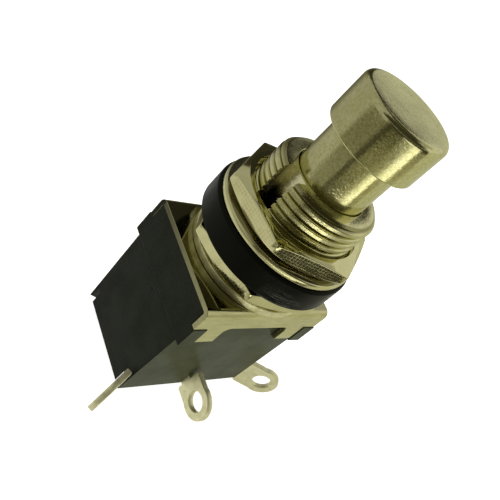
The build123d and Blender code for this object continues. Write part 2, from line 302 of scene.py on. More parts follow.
def build(name, points, faces):
    """A closed object: its points welded, its open ends filled, its faces outwards."""
    mesh = new_mesh(name, points, faces)
    work = bmesh.new()
    work.from_mesh(mesh)
    bmesh.ops.remove_doubles(work, verts=work.verts, dist=WELD)
    bmesh.ops.holes_fill(work, edges=[edge for edge in work.edges if edge.is_boundary])
    bmesh.ops.recalc_face_normals(work, faces=work.faces)
    work.to_mesh(mesh)
    work.free()
    return link(name, mesh)


def strip(here, there, count, closed=False):
    """Faces between two columns of count points, which start at the numbers here and there."""
    faces = [(here + row, there + row, there + row + 1, here + row + 1) for row in range(count - 1)]
    if closed:
        faces.append((here + count - 1, there + count - 1, there, here))
    return faces


def lathe(name, outline, angles, closed=True):
    """Turns an outline, given for each angle, about the axis."""
    rings = [outline(angle) for angle in angles]
    count = len(rings[0])
    points = [
        polar(radius, angle, height)
        for angle, ring in zip(angles, rings)
        for radius, height in ring
    ]
    faces = []
    for column in range(len(angles)):
        after = (column + 1) % len(angles)
        faces += strip(column * count, after * count, count, closed)
    return build(name, points, faces)


def spin(name, outline, columns=TURNED_COLUMNS, closed=True):
    """Turns one outline all round."""
    angles = [2 * math.pi * column / columns for column in range(columns)]
    return lathe(name, lambda angle: outline, angles, closed)


def block(name, low, high):
    """A box between two corners, used as a cutting tool."""
    points = list(product(*zip(low, high)))
    faces = [(0, 1, 3, 2), (4, 6, 7, 5), (0, 4, 5, 1), (2, 3, 7, 6), (0, 2, 6, 4), (1, 5, 7, 3)]
    return build(name, points, faces)


def carve(piece, operation, tool):
    """Cuts piece by tool, or keeps only what the two share, and removes the tool."""
    cut = piece.modifiers.new("carve", "BOOLEAN")
    cut.operation = operation
    cut.solver = "EXACT"
    cut.object = tool
    bpy.context.view_layer.update()
    result = bpy.data.meshes.new_from_object(piece.evaluated_get(bpy.context.evaluated_depsgraph_get()))
    piece.modifiers.clear()
    piece.data = result
    bpy.data.objects.remove(tool)


def rounded_copy(node, width, plain_below=-math.inf):
    """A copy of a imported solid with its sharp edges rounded; short ones below a level stay sharp."""
    work = bmesh.new()
    work.from_mesh(frame["nodes"][node].data)
    bmesh.ops.remove_doubles(work, verts=work.verts, dist=WELD)
    bmesh.ops.dissolve_limit(work, angle_limit=FLAT_ANGLE, verts=work.verts, edges=work.edges)
    sharp = [
        edge
        for edge in work.edges
        if edge.is_manifold
        and edge.calc_face_angle() > SHARP_ANGLE
        and (edge.calc_length() > SLOT_REACH * MM or edge.verts[0].co.z > plain_below * MM)
    ]
    bmesh.ops.bevel(
        work,
        geom=sharp,
        offset=width * MM,
        segments=EDGE_SEGMENTS,
        profile=0.5,
        affect="EDGES",
        clamp_overlap=True,
    )
    mesh = bpy.data.meshes.new(node + "_shell")
    work.to_mesh(mesh)
    work.free()
    return link(node + "_shell", mesh)


def dress(piece, body, material):
    """Gives a piece its material and body, and shades it smooth between its sharp edges."""
    mesh = piece.data
    mesh.materials.clear()
    mesh.materials.append(material)
    mesh.polygons.foreach_set("use_smooth", [True] * len(mesh.polygons))
    mesh.set_sharp_from_angle(angle=SHARP_ANGLE)
    weighted = piece.modifiers.new("normals", "WEIGHTED_NORMAL")
    weighted.keep_sharp = True
    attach(piece, body)


def heights(node):
    """Lowest and highest level of a node in millimetres."""
    low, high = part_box(node)
    return low.z / MM, high.z / MM


# Shapes

def plunger_shape():
    """Cap with a rounded rim and a slight crown, neck, and stem with the groove of the clip."""
    bottom, top = heights("plunger")
    rim = top - CAP_CROWN
    side = soften(
        [
            (0, bottom),
            (STEM_RADIUS, bottom),
            (STEM_RADIUS, GROOVE_BOTTOM),
            (GROOVE_RADIUS, GROOVE_BOTTOM),
            (GROOVE_RADIUS, GROOVE_TOP),
            (STEM_RADIUS, GROOVE_TOP),
            (STEM_RADIUS, NECK_SHOULDER),
            (NECK_RADIUS, NECK_SHOULDER),
            (NECK_RADIUS, CAP_BOTTOM),
            (CAP_RADIUS, CAP_BOTTOM),
            (CAP_RADIUS, rim),
        ],
        {1: CAP_EDGE, 7: CAP_EDGE, 9: CAP_EDGE},
    )[:-1]
    below = complex(CAP_RADIUS, CAP_BOTTOM)
    corner = complex(CAP_RADIUS, rim)
    arc = corner_arc(below, corner, complex(0, rim), CAP_ROUND, CAP_ROUND_STEPS)
    flat = CAP_RADIUS - CAP_ROUND
    crown = [(flat * share, rim + CAP_CROWN * (1 - share * share)) for share in CROWN_SHARES]
    outline = side + [(point.real, point.imag) for point in arc] + crown
    return spin("plunger_turned", outline, closed=False)


def thread_shape(low, high):
    """A screw longer than the bushing; its rows of faces follow the helix."""
    first = math.floor(low / THREAD_PITCH) - SPARE_TURNS
    rows = (math.ceil(high / THREAD_PITCH) + SPARE_TURNS - first) * THREAD_ROWS
    count = rows + 1
    points = []
    for column in range(THREAD_COLUMNS):
        angle = 2 * math.pi * column / THREAD_COLUMNS
        for row in range(count):
            phase = row / THREAD_ROWS
            height = (first + phase + column / THREAD_COLUMNS + THREAD_PHASE) * THREAD_PITCH
            from_groove = abs(phase % 1 - 0.5) * 2
            rise = ease((from_groove - THREAD_ROOT) / THREAD_FLANK)
            run_out = min(max(height / THREAD_PITCH, 0), 1)
            radius = THREAD_RADIUS - THREAD_DEPTH * (1 - rise) * run_out
            points.append(polar(radius, angle, height))
    faces = []
    for column in range(THREAD_COLUMNS - 1):
        faces += strip(column * count, (column + 1) * count, count)
    faces += strip((THREAD_COLUMNS - 1) * count, THREAD_ROWS, count - THREAD_ROWS)
    return build("bushing_thread", points, faces)


def bushing_shape():
    """The screw cut to the bushing's outline, with a keyway on two sides."""
    bottom, top = heights("bushing")
    outline = soften(
        [
            (RELIEF_RADIUS, bottom),
            (STAKE_RADIUS - STAKE_TAPER, bottom),
            (STAKE_RADIUS, -SHEET),
            (SHANK_RADIUS, -SHEET),
            (SHANK_RADIUS, 0),
            (THREAD_RADIUS, 0),
            (THREAD_RADIUS, top - THREAD_CHAMFER),
            (THREAD_RADIUS - THREAD_CHAMFER, top),
            (LAND_RADIUS, top),
            (LAND_RADIUS, top - LAND_LENGTH),
            (RELIEF_RADIUS, top - LAND_LENGTH),
        ],
        {1: STAKE_ROUND, 6: CHAMFER_FOOT_ROUND, 7: CHAMFER_HEAD_ROUND, 8: LAND_ROUND},
    )
    piece = thread_shape(bottom, top)
    carve(piece, "INTERSECT", spin("bushing_outline", outline, THREAD_COLUMNS))
    half = KEYWAY_WIDTH / 2
    far = THREAD_RADIUS + CUT_SPARE
    above = top + CUT_SPARE
    for inner, outer in ((KEYWAY_FLOOR, far), (-far, -KEYWAY_FLOOR)):
        carve(piece, "DIFFERENCE", block("keyway", (inner, -half, KEYWAY_START), (outer, half, above)))
    return piece


def nut_radius(angle, turn):
    """Distance from the axis to a hexagon with slightly rounded corners."""
    corner = NUT_FLATS / math.sqrt(3)
    away = (angle - math.radians(turn)) % math.radians(60)
    away = min(away, math.radians(60) - away)
    flat = NUT_FLATS / 2 / math.cos(math.radians(30) - away)
    centre = corner - NUT_CORNER_ROUND / math.cos(math.radians(30))
    inside = NUT_CORNER_ROUND ** 2 - (centre * math.sin(away)) ** 2
    if inside <= 0:
        return flat
    return min(flat, centre * math.cos(away) + math.sqrt(inside))


def nut_shape(node):
    """A hexagon nut, chamfered on both faces and at both ends of its bore."""
    bottom, top = heights(node)
    turn = NUT_TURNS[node]
    angles = [math.radians(turn + 60 * side + column) for side in range(6) for column in NUT_COLUMNS]
    under = math.tan(math.radians(NUT_UNDER_ANGLE))
    over = math.tan(math.radians(NUT_TOP_ANGLE))

    def outline(angle):
        radius = nut_radius(angle, turn)
        proud = radius - NUT_FACE_RADIUS
        return soften(
            [
                (NUT_BORE, bottom + NUT_BORE_CHAMFER),
                (NUT_BORE + NUT_BORE_CHAMFER, bottom),
                (NUT_FACE_RADIUS, bottom),
                (radius, bottom + proud * under),
                (radius, top - proud * over),
                (NUT_FACE_RADIUS, top),
                (NUT_BORE + NUT_BORE_CHAMFER, top),
                (NUT_BORE, top - NUT_BORE_CHAMFER),
            ],
            {2: NUT_EDGE, 3: NUT_UNDER_ROUND, 4: NUT_EDGE, 5: NUT_EDGE},
        )

    return lathe(node + "_hexagon", outline, angles)


def ring(name, radius, bottom, top, rounds):
    """A flat ring; the corners of its section count from the lower inner one."""
    section = [(RING_BORE, bottom), (radius, bottom), (radius, top), (RING_BORE, top)]
    return spin(name, soften(section, rounds))


def ring_shape(node):
    """The flat washer or the spacer ring."""
    bottom, top = heights(node)
    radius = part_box(node)[1].x / MM
    edge = RING_EDGES[node]
    return ring(node + "_turned", radius, bottom, top, {0: edge / 2, 1: edge, 2: edge, 3: edge / 2})


def seat_washer_shape():
    """Washer between the plate and the lower nut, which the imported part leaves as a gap."""
    bottom = heights("bracket")[1] + SEAT_CLEARANCE
    top = heights("lower_nut")[0] - SEAT_CLEARANCE
    return ring("seat_washer", SEAT_RADIUS, bottom, top, {1: SEAT_EDGE, 2: SEAT_EDGE})


def spring_shape():
    """Round wire wound evenly between its two ends."""
    bottom, top = heights("return_spring")
    low = bottom + WIRE_RADIUS
    rise = top - bottom - 2 * WIRE_RADIUS
    steps = int(SPRING_TURNS * SPRING_COLUMNS)
    points = []
    for step in range(steps + 1):
        angle = 2 * math.pi * step / SPRING_COLUMNS
        height = low + rise * step / steps
        for side in range(WIRE_SIDES):
            around = 2 * math.pi * side / WIRE_SIDES
            radius = SPRING_RADIUS + WIRE_RADIUS * math.cos(around)
            points.append(polar(radius, angle, height + WIRE_RADIUS * math.sin(around)))
    faces = []
    for step in range(steps):
        faces += strip(step * WIRE_SIDES, (step + 1) * WIRE_SIDES, WIRE_SIDES, closed=True)
    return build("return_spring_coil", points, faces)


# Finishes

class Finish:
    """A surface shader with short calls for the textures that feed it; sizes are in millimetres."""

    def __init__(self, name, **constants):
        self.material = bpy.data.materials.new(name)
        self.material.use_nodes = True
        self.nodes = self.material.node_tree.nodes
        self.links = self.material.node_tree.links
        self.shader = self.nodes["Principled BSDF"]
        spot = self.nodes.new("ShaderNodeTexCoord")
        self.place = spot.outputs["Object"]
        self.facing = spot.outputs["Normal"]
        for socket, value in constants.items():
            self.shader.inputs[socket.replace("_", " ")].default_value = value

    def node(self, kind, inputs, **settings):
        """A new node with its settings; each input is a value or another node's output."""
        made = self.nodes.new("ShaderNode" + kind)
        for key, value in settings.items():
            setattr(made, key, value)
        for key, value in inputs.items():
            if isinstance(value, bpy.types.NodeSocket):
                self.links.new(value, made.inputs[key])
            else:
                made.inputs[key].default_value = value
        return made

    def math(self, operation, first, second=0.0):
        return self.node("Math", {0: first, 1: second}, operation=operation).outputs[0]

    def vector(self, operation, first, second=(0, 0, 0)):
        return self.node("VectorMath", {0: first, 1: second}, operation=operation)

    def noise(self, size, stretch=(1, 1, 1), detail=4.0):
        """Cloudy marks of a size, drawn out along X, Y and Z by stretch."""
        scale = tuple(1 / (size * part * MM) for part in stretch)
        spot = self.vector("MULTIPLY", self.place, scale).outputs[0]
        return self.node("TexNoise", {"Vector": spot, "Scale": 1.0, "Detail": detail}).outputs[0]

    def radius(self):
        """Distance from the axis, in millimetres."""
        flat = self.vector("MULTIPLY", self.place, (1 / MM, 1 / MM, 0)).outputs[0]
        return self.vector("LENGTH", flat).outputs["Value"]

    def at(self, axis):
        """Place along an axis, in millimetres."""
        return self.math("DIVIDE", self.node("SeparateXYZ", {0: self.place}).outputs[axis], MM)

    def heading(self):
        """Direction away from the axis."""
        flat = self.vector("MULTIPLY", self.place, (1, 1, 0)).outputs[0]
        return self.vector("NORMALIZE", flat).outputs[0]

    def along(self, axis):
        """How far a face looks along an axis, from -1 to 1."""
        return self.node("SeparateXYZ", {0: self.facing}).outputs[axis]

    def turned(self, size, waves=2.0, detail=3.0):
        """Marks that run round the axis, as a turning tool leaves them."""
        swing = self.vector("MULTIPLY", self.heading(), (waves, waves, 0)).outputs[0]
        level = self.vector("MULTIPLY", self.place, (0, 0, 1 / (size * MM))).outputs[0]
        spot = self.vector("ADD", swing, level).outputs[0]
        depth = self.math("DIVIDE", self.radius(), size)
        inputs = {"Vector": spot, "W": depth, "Scale": 1.0, "Detail": detail}
        return self.node("TexNoise", inputs, noise_dimensions="4D").outputs[0]

    def ramp(self, value, low, high, start=0.35, end=0.65):
        """Goes from low to high as the value goes from start to end."""
        return self.node("MapRange", {0: value, 1: start, 2: end, 3: low, 4: high}).outputs[0]

    def mix(self, share, first, second):
        """Goes from the first colour to the second as the share goes from 0 to 1."""
        colours = {0: share}
        for key, colour in ((6, first), (7, second)):
            colours[key] = (*colour, 1) if isinstance(colour, tuple) else colour
        return self.node("Mix", colours, data_type="RGBA").outputs[2]

    def bump(self, height, depth, under=None):
        inputs = {"Height": height, "Distance": depth * MM}
        if under is not None:
            inputs["Normal"] = under
        return self.node("Bump", inputs).outputs[0]

    def look(self, colour, roughness, normal):
        """The finished material."""
        self.links.new(colour, self.shader.inputs["Base Color"])
        self.links.new(roughness, self.shader.inputs["Roughness"])
        self.links.new(normal, self.shader.inputs["Normal"])
        return self.material


def turned_nickel():
    """Polished and plated: fine turning marks, a grain with dark specks, a few handling smudges."""
    skin = Finish("turned_nickel", Metallic=1.0)
    smudge = skin.noise(2.2)
    grain = skin.noise(0.22, detail=2.0)
    plated = skin.mix(skin.ramp(smudge, 0.0, 1.0), NICKEL, NICKEL_SHADE)
    speck = skin.ramp(skin.noise(0.28, detail=2.0), 0.0, 0.6, 0.42, 0.68)
    colour = skin.mix(speck, plated, PLUNGER_SPECK)
    rough = skin.math("ADD", skin.ramp(smudge, 0.08, 0.13), skin.ramp(grain, 0.0, 0.06))
    lines = skin.bump(skin.turned(0.06), 0.0012)
    return skin.look(colour, rough, skin.bump(grain, 0.009, lines))


def threaded_nickel():
    """Plated thread, with painted shade in its grooves, painted light on the milled keyways and painted
    shade low down in them.
    """
    skin = Finish("threaded_nickel", Metallic=1.0)
    # Painted shade: the thread's grooves, outside the shank, are drawn darker
    groove = skin.ramp(skin.radius(), 0.75, 0.0, *GROOVE_SHADE_RADII)
    groove_painted_shade = skin.math("MULTIPLY", groove, skin.ramp(skin.radius(), 0.0, 1.0, *GROOVE_SHADE_INNER_RADII))
    inner = skin.ramp(skin.radius(), 1.0, 0.0, *KEYWAY_TONE)
    keyway = skin.math("MULTIPLY", inner, skin.ramp(skin.along("Z"), 1.0, 0.0))
    # Painted shade: the keyways are drawn darker below these levels, where shade falls in the recess
    keyway_painted_shade = skin.math("MULTIPLY", keyway, skin.ramp(skin.at("Z"), 0.85, 0.0, *KEYWAY_SHADE_LEVELS))
    worn = skin.mix(skin.ramp(skin.noise(1.4), 0.0, 1.0), NICKEL, NICKEL_SHADE)
    # The grooves take their painted shade, and the keyways their painted light
    plated = skin.mix(keyway, skin.mix(groove_painted_shade, worn, GROOVE_PAINTED_SHADE), KEYWAY_PAINTED_LIGHT)
    colour = skin.mix(keyway_painted_shade, plated, KEYWAY_PAINTED_SHADE)
    milled = skin.ramp(skin.math("ABSOLUTE", skin.along("Y")), 0.0, 0.4, 0.9, 0.98)
    milled = skin.math("MAXIMUM", milled, skin.math("MULTIPLY", keyway, 0.12))
    rough = skin.math("ADD", skin.ramp(skin.noise(0.5), 0.1, 0.18), milled)
    return skin.look(colour, rough, skin.bump(skin.noise(0.2), 0.01))


def hatched_nickel():
    """Nuts cut from bar: a fine hatch of tool lines on the flats, crossed by upright ones."""
    skin = Finish("hatched_nickel", Metallic=1.0)
    smudge = skin.noise(1.8)
    wander = skin.math("MULTIPLY", skin.noise(0.7), 1.2)
    angle = skin.math("ARCTAN2", skin.at("Y"), skin.at("X"))
    turns = skin.math("MULTIPLY", angle, math.pi * NUT_FLATS / HATCH)
    rows = skin.math("MULTIPLY", skin.at("Z"), 2 * math.pi / HATCH)
    upright = skin.ramp(skin.math("SINE", skin.math("ADD", turns, wander)), 0.0, 1.0, 0.5, 0.95)
    across = skin.ramp(skin.math("SINE", skin.math("ADD", rows, wander)), 0.0, 1.0, 0.5, 0.95)
    lines = skin.math("MULTIPLY", skin.math("MAXIMUM", upright, across), skin.ramp(smudge, 0.4, 1.0))
    flat = skin.ramp(skin.math("ABSOLUTE", skin.along("Z")), 1.0, 0.0, 0.1, 0.4)
    scratch = skin.math("MULTIPLY", lines, flat)
    colour = skin.mix(skin.ramp(smudge, 0.0, 0.8), NICKEL, NICKEL_SHADE)
    rough = skin.math("ADD", skin.ramp(smudge, 0.04, 0.08), skin.math("MULTIPLY", scratch, 0.16))
    return skin.look(colour, rough, skin.bump(scratch, 0.0006))


def washer_nickel():
    """Plated washer, turned, with its top face drawn darker as painted shade."""
    skin = Finish("washer_nickel", Metallic=1.0)
    plated = skin.mix(skin.ramp(skin.noise(1.5), 0.0, 0.7), NICKEL, NICKEL_SHADE)
    # Painted shade: faces that look up are drawn darker
    colour = skin.mix(skin.ramp(skin.along("Z"), 0.0, 1.0, 0.9, 0.99), plated, WASHER_TOP_PAINTED_SHADE)
    rough = skin.ramp(skin.noise(0.6), 0.13, 0.22)
    return skin.look(colour, rough, skin.bump(skin.turned(0.1), 0.004))


def sheet_nickel():
    """Plated sheet, rolled along its length: mirror-smooth on top and drawn darker there as painted
    shade; its cut ends darker, partly their own colour and partly painted shade that grows towards +Y and
    turns nearly black at the far ends.
    """
    skin = Finish("sheet_nickel", Metallic=1.0)
    grain = skin.noise(0.07, (30, 1, 1), 2.0)
    smudge = skin.noise(2.5, (1.6, 1, 1))
    speck = skin.ramp(skin.noise(0.45, (3, 1, 1)), 0.0, 0.5, 0.45, 0.7)
    plated = skin.mix(skin.ramp(smudge, 0.0, 0.8), NICKEL, NICKEL_SHADE)
    plated = skin.mix(speck, plated, SHEET_SPECK)
    # Painted shade: faces that look up are drawn darker
    top_painted_shade = skin.mix(skin.ramp(skin.along("Z"), 0.0, 1.0, 0.9, 0.99), plated, SHEET_TOP_PAINTED_SHADE)
    edge = skin.ramp(skin.math("ABSOLUTE", skin.along("X")), 0.0, 1.0, 0.7, 0.95)
    # Cut ends darken towards +Y with painted shade, and turn nearly black at the far side
    cut_end_and_shade = skin.math("MULTIPLY", edge, skin.ramp(skin.at("Y"), 0.55, 1.0, *CUT_END_SHADE_REACH))
    far_end_painted_shade = skin.math("MULTIPLY", edge, skin.ramp(skin.at("Y"), 0.0, 1.0, *FAR_END_SHADE_REACH))
    colour = skin.mix(far_end_painted_shade, skin.mix(cut_end_and_shade, top_painted_shade, CUT_END_AND_SHADE), FAR_END_PAINTED_SHADE)
    side = skin.ramp(skin.along("Z"), 0.2, 0.0, 0.85, 0.98)
    rolled = skin.math("MULTIPLY", skin.ramp(grain, 0.6, 1.2), side)
    rough = skin.math("ADD", skin.ramp(smudge, 0.05, 0.09), rolled)
    return skin.look(colour, rough, skin.bump(grain, 0.0012))


def spacer_plastic():
    """Turned black plastic: satin, with fine tool marks and pale scuffs low on its rubbed side."""
    skin = Finish("spacer_plastic", IOR=1.45, Specular_IOR_Level=0.08, Specular_Tint=SPACER_TINT)
    lines = skin.turned(0.12, 3.0)
    streak = skin.ramp(skin.turned(0.09, 4.0, 2.0), 0.0, 1.0, 0.46, 0.62)
    streak = skin.math("MULTIPLY", streak, skin.ramp(skin.noise(0.25), 0.3, 1.0, 0.4, 0.6))
    toward = skin.vector("DOT_PRODUCT", skin.heading(), RUBBED_SIDE).outputs["Value"]
    beside = skin.ramp(toward, 0.0, 1.0, 0.95, 0.995)
    rubbed = skin.math("MULTIPLY", beside, skin.ramp(skin.at("Z"), 1.0, 0.0, *SCUFF_LEVELS))
    scuff = skin.math("MULTIPLY", rubbed, streak)
    colour = skin.mix(scuff, SPACER_BLACK, SCUFF_GREY)
    rough = skin.ramp(skin.noise(1.6), 0.26, 0.36)
    return skin.look(colour, rough, skin.bump(lines, 0.006))


def housing_plastic():
    """Moulded black thermoset: long sides shiny and drawn lighter as painted light, the two ends matt and
    black, with a gate mark and a painted shade line at the step.
    """
    skin = Finish("housing_plastic", IOR=1.55, Specular_IOR_Level=0.16, Specular_Tint=HOUSING_TINT)
    end = skin.ramp(skin.math("ABSOLUTE", skin.along("X")), 0.0, 1.0, 0.5, 0.8)
    speck = skin.noise(0.25)
    matt = skin.mix(skin.ramp(speck, 0.0, 1.0, 0.45, 0.75), MATT_BLACK, MATT_SPECK)
    # Painted light: the long sides get a lighter black than the ends
    lit_side_colour = skin.mix(skin.ramp(speck, 0.0, 1.0, 0.4, 0.7), SIDE_BLACK_PAINTED_LIGHT, SIDE_SPECK_PAINTED_LIGHT)
    # Painted shade: a dark line across the ends at the step under the block, where shade falls
    from_step = skin.math("ABSOLUTE", skin.math("SUBTRACT", skin.at("Z"), BLOCK_BOTTOM))
    step_shade = skin.ramp(from_step, 1.0, 0.0, *STEP_SHADE_REACH)
    middle = skin.vector("SUBTRACT", skin.place, (0, 0, GATE_LEVEL * MM)).outputs[0]
    beside = skin.vector("MULTIPLY", middle, (0, 1 / MM, 1 / MM)).outputs[0]
    from_gate = skin.vector("LENGTH", beside).outputs["Value"]
    gate = skin.ramp(from_gate, 1.0, 0.0, GATE_RADIUS / 2, GATE_RADIUS)
    # The rounded upright corners, faces turned halfway between X and Y, are drawn black too
    slanted = skin.math("ABSOLUTE", skin.math("MULTIPLY", skin.along("X"), skin.along("Y")))
    mark = skin.math("MULTIPLY", skin.math("MAXIMUM", step_shade, gate), end)
    mark = skin.math("MAXIMUM", mark, skin.ramp(slanted, 0.0, 1.0, 0.36, 0.42))
    colour = skin.mix(mark, skin.mix(end, lit_side_colour, matt), MARK_AND_SHADE_BLACK)
    gloss = skin.ramp(skin.noise(3.0), 0.26, 0.38)
    rough = skin.math("ADD", gloss, skin.math("MULTIPLY", end, 0.25))
    wave = skin.bump(skin.noise(4.0, detail=1.0), 0.03)
    sunk = skin.bump(skin.math("SUBTRACT", 1.0, mark), 0.08, wave)
    return skin.look(colour, rough, skin.bump(speck, 0.004, sunk))


def cover_phenolic():
    """Brown board with its fibres along X."""
    skin = Finish("cover_phenolic", IOR=1.55)
    fibre = skin.noise(0.3, (5, 1, 1))
    colour = skin.mix(skin.ramp(fibre, 0.0, 1.0), PHENOLIC, PHENOLIC_FIBRE)
    return skin.look(colour, skin.ramp(fibre, 0.4, 0.6), skin.bump(fibre, 0.01))


def tinned_brass():
    """Dipped solder tin: pale, a little uneven, with dull patches."""
    skin = Finish("tinned_brass", Metallic=0.8)
    patch = skin.noise(0.9)
    colour = skin.mix(skin.ramp(patch, 0.0, 1.0, 0.45, 0.7), TIN, TIN_SHADE)
    rough = skin.ramp(skin.noise(0.35), 0.35, 0.5)
    grain = skin.bump(skin.noise(0.08), 0.004)
    return skin.look(colour, rough, skin.bump(patch, 0.02, grain))


def plain_metal(name, colour, shade, rough):
    """Drawn or stamped metal with faint colour and gloss changes."""
    skin = Finish(name, Metallic=1.0)
    patch = skin.noise(0.8)
    mixed = skin.mix(skin.ramp(patch, 0.0, 1.0), colour, shade)
    return skin.look(mixed, skin.ramp(patch, rough, rough + 0.12), skin.bump(skin.noise(0.1), 0.003))


def white_nylon():
    """Moulded nylon, a little cloudy."""
    skin = Finish("white_nylon", IOR=1.53, Subsurface_Weight=0.15, Subsurface_Scale=0.002)
    cloud = skin.noise(1.5)
    colour = skin.mix(skin.ramp(cloud, 0.0, 1.0), NYLON, NYLON_SHADE)
    return skin.look(colour, skin.ramp(cloud, 0.35, 0.5), skin.bump(skin.noise(0.2), 0.006))


FINISHES = {
    "nickel_plunger": turned_nickel(),
    "nickel_thread": threaded_nickel(),
    "nickel_nut": hatched_nickel(),
    "nickel_washer": washer_nickel(),
    "nickel_sheet": sheet_nickel(),
    "black_spacer": spacer_plastic(),
    "black_housing": housing_plastic(),
    "phenolic_cover": cover_phenolic(),
    "tinned_lug": tinned_brass(),
    "contact_silver": plain_metal("contact_silver", SILVER, SILVER_SHADE, 0.2),
    "spring_steel": plain_metal("spring_steel", STEEL, STEEL_SHADE, 0.22),
    "white_nylon": white_nylon(),
    "contact_bronze": plain_metal("contact_bronze", BRONZE, BRONZE_SHADE, 0.22),
    "pivot_brass": plain_metal("pivot_brass", BRASS, BRASS_SHADE, 0.2),
}

for node, slot in SLOTS.items():
    materials = frame["nodes"][node].data.materials
    materials.clear()
    materials.append(FINISHES[slot])

SHAPES = {
    "plunger": plunger_shape(),
    "bushing": bushing_shape(),
    "lower_nut": nut_shape("lower_nut"),
    "top_nut": nut_shape("top_nut"),
    "flat_washer": ring_shape("flat_washer"),
    "spacer_ring": ring_shape("spacer_ring"),
    "return_spring": spring_shape(),
    "bracket": rounded_copy("bracket", EDGE_ROUND),
    "housing": rounded_copy("housing", EDGE_ROUND, SLOT_LEVEL),
    "base_cover": rounded_copy("base_cover", COVER_ROUND),
    "terminal_left": rounded_copy("terminal_left", LUG_ROUND),
    "terminal_middle": rounded_copy("terminal_middle", LUG_ROUND),
    "terminal_right": rounded_copy("terminal_right", LUG_ROUND),
}
for node, piece in SHAPES.items():
    dress(piece, frame["nodes"][node]["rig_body"], FINISHES[SLOTS[node]])
    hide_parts(node)
seat_finish = plain_metal("seat_metal", TIN, NICKEL, 0.38)
dress(seat_washer_shape(), frame["nodes"]["bracket"]["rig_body"], seat_finish)

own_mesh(SHAPES["return_spring"])


# Light and camera

def bare_material(name):
    """A material with nothing but its output node."""
    material = bpy.data.materials.new(name)
    material.use_nodes = True
    nodes = material.node_tree.nodes
    nodes.remove(nodes["Principled BSDF"])
    return material


def joined(tree, share, first, second):
    """A shader that goes from the first to the second as the share goes from 0 to 1."""
    join = tree.nodes.new("ShaderNodeMixShader")
    for index, socket in enumerate((share, first, second)):
        tree.links.new(socket, join.inputs[index])
    return join.outputs[0]


def emitter(name, colour, level):
    """Light of one colour that is clear where the card fades out."""
    material = bare_material(name)
    tree = material.node_tree
    share = tree.nodes.new("ShaderNodeAttribute")
    share.attribute_name = "cover"
    glow = tree.nodes.new("ShaderNodeEmission")
    glow.inputs["Color"].default_value = (*colour, 1)
    glow.inputs["Strength"].default_value = level
    clear = tree.nodes.new("ShaderNodeBsdfTransparent")
    shown = joined(tree, share.outputs["Fac"], clear.outputs[0], glow.outputs[0])
    tree.links.new(shown, tree.nodes["Material Output"].inputs["Surface"])
    return material


def card(name, distance, azimuths, elevations, colour, level, sides, ends):
    """A curved studio card that only shows in the object's gloss.

    Its angles are degrees, seen from the origin, and a nearer card hides what is behind it. It fades over
    a share of its width at its two sides, and of its height at its foot and head.
    """
    points = []
    cover = []
    for column in range(CARD_COLUMNS + 1):
        across = column / CARD_COLUMNS
        azimuth = math.radians(azimuths[0] + (azimuths[1] - azimuths[0]) * across)
        beside = ease(across / sides[0]) * ease((1 - across) / sides[1])
        for row in range(CARD_ROWS + 1):
            up = row / CARD_ROWS
            elevation = math.radians(elevations[0] + (elevations[1] - elevations[0]) * up)
            points.append(polar(distance * math.cos(elevation), azimuth, distance * math.sin(elevation)))
            cover.append(beside * ease(up / ends[0]) * ease((1 - up) / ends[1]))
    count = CARD_ROWS + 1
    faces = []
    for column in range(CARD_COLUMNS):
        faces += strip(column * count, (column + 1) * count, count)
    mesh = new_mesh(name, points, faces)
    mesh.attributes.new("cover", "FLOAT", "POINT").data.foreach_set("value", cover)
    mesh.materials.append(emitter(name, colour, level))
    made = link(name, mesh)
    for ray in ("camera", "diffuse", "transmission", "volume_scatter", "shadow"):
        setattr(made, "visible_" + ray, False)


def lamp(name, azimuth, elevation, distance, size, power):
    """A soft square lamp that looks at the middle of the object."""
    data = bpy.data.lights.new(name, "AREA")
    data.size = size * MM
    data.energy = power
    data.color = WARM_WHITE
    made = link(name, data)
    rise = math.radians(elevation)
    away = Vector(polar(math.cos(rise), math.radians(azimuth), math.sin(rise)))
    made.location = away * distance * MM
    made.rotation_euler = away.to_track_quat("Z", "Y").to_euler()
    made.visible_glossy = False


def white_to_camera(tree, lit, white):
    """A shader that is white for camera, glossy and transmission rays, and lit for all others."""
    rays = tree.nodes.new("ShaderNodeLightPath")
    seen = rays.outputs["Is Camera Ray"]
    for kind in ("Is Glossy Ray", "Is Transmission Ray"):
        either = tree.nodes.new("ShaderNodeMath")
        either.operation = "MAXIMUM"
        tree.links.new(seen, either.inputs[0])
        tree.links.new(rays.outputs[kind], either.inputs[1])
        seen = either.outputs[0]
    return joined(tree, seen, lit, white)


def make_world():
    """Even light from all sides, where the camera sees white."""
    world = bpy.data.worlds.new("studio")
    world.use_nodes = True
    tree = world.node_tree
    room = tree.nodes["Background"]
    room.inputs["Color"].default_value = (*WARM_WHITE, 1)
    room.inputs["Strength"].default_value = ROOM_LIGHT
    white = tree.nodes.new("ShaderNodeBackground")
    white.inputs["Color"].default_value = (1, 1, 1, 1)
    shown = white_to_camera(tree, room.outputs[0], white.outputs[0])
    tree.links.new(shown, tree.nodes["World Output"].inputs["Surface"])
    bpy.context.scene.world = world


